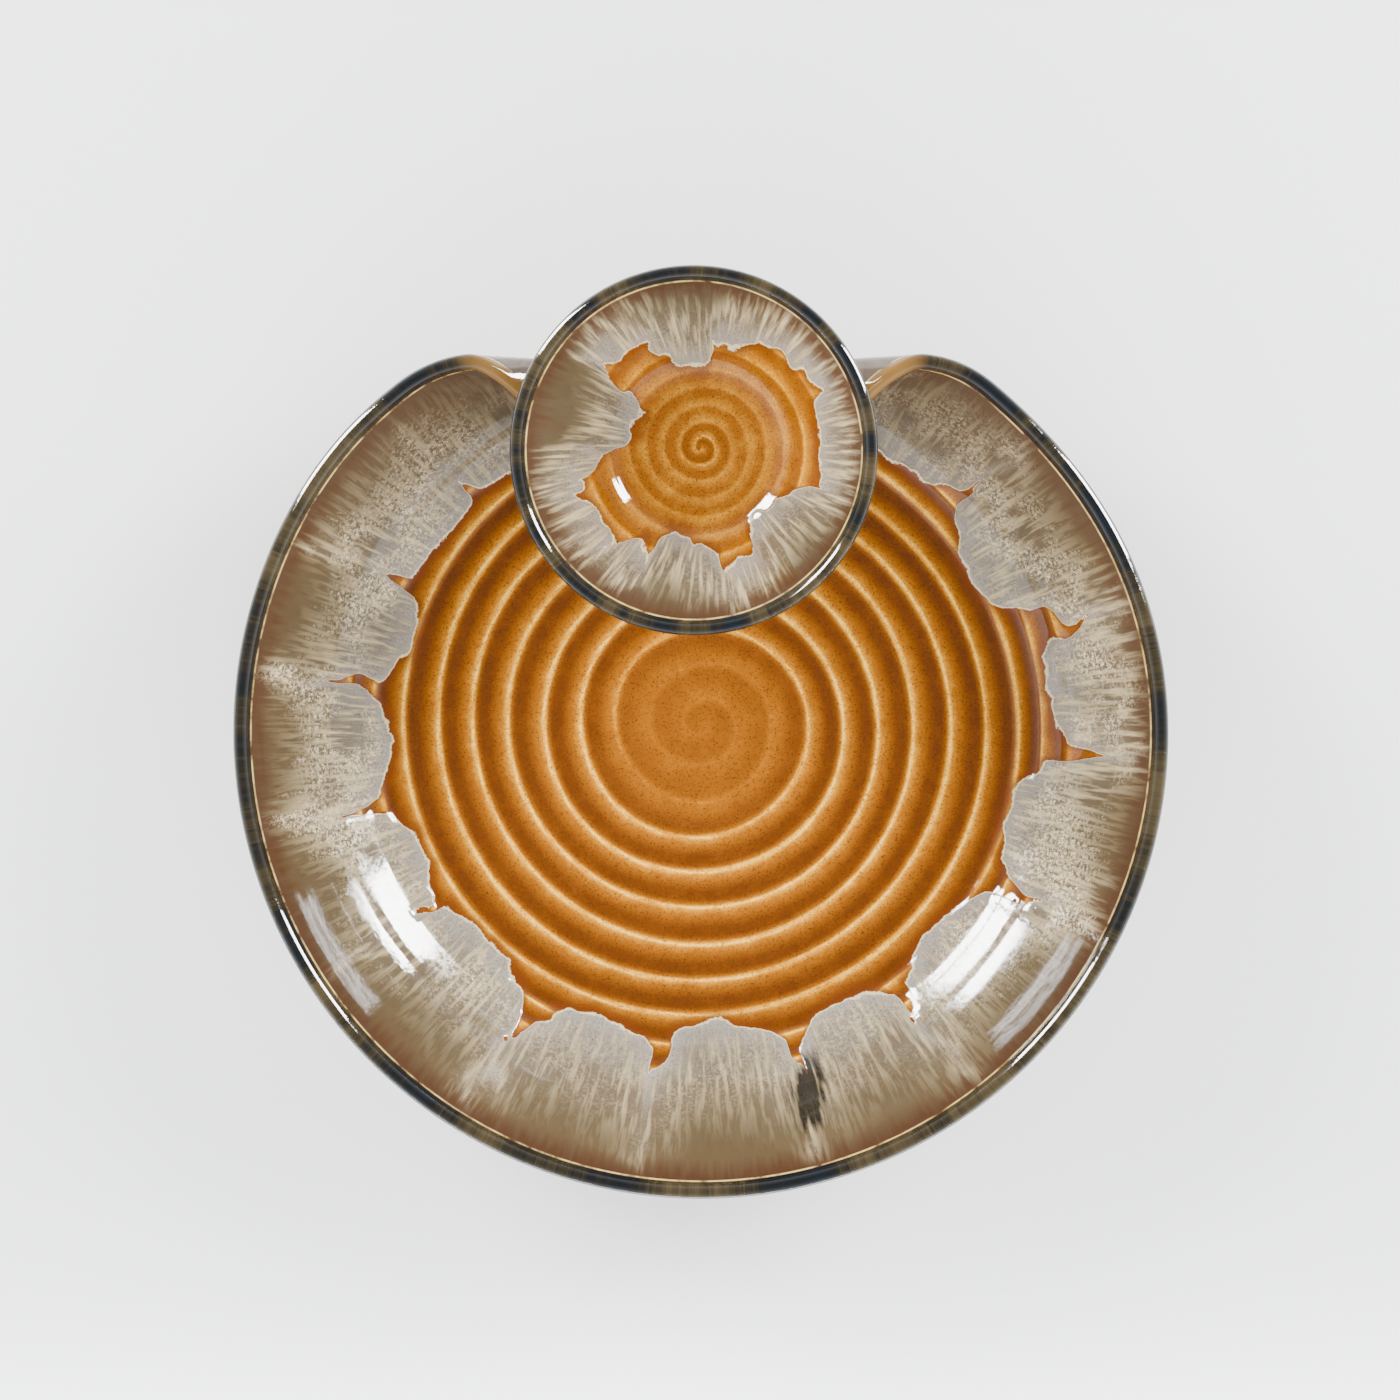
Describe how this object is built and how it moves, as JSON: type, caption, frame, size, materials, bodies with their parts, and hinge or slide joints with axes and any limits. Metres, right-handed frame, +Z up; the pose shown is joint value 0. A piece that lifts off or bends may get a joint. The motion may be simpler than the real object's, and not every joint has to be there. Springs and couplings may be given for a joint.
{
  "type": "chip and dip server",
  "caption": "Thrown stoneware platter for chips, its back wall folded in to a shelf that carries a small fixed dip bowl, with a turned foot ring to stand on.",
  "frame": {"origin": "bottom centre of the object's box, which is on the platter's axis in the plane of its foot ring to within 2 mm", "axes": "+Z up along the platter's axis, away from the foot; +Y to the folded wall and the dip bowl; +X to the right of someone who looks at it with the bowl at the back"},
  "size_m": [0.3309, 0.3272, 0.0879],
  "materials": {
    "platter_glaze": "gloss amber glaze with a grey drip glaze down from the rim, on buff stoneware",
    "bowl_glaze": "gloss amber glaze with a grey drip glaze down from the rim, on buff stoneware",
    "seam_clay": "gloss brown glaze over a smoothed bead of stoneware clay"
  },
  "bodies": {
    "root": {"chip_platter": "platter_glaze", "dip_bowl": "bowl_glaze", "luting_seam": "seam_clay"}
  },
  "joints": []
}
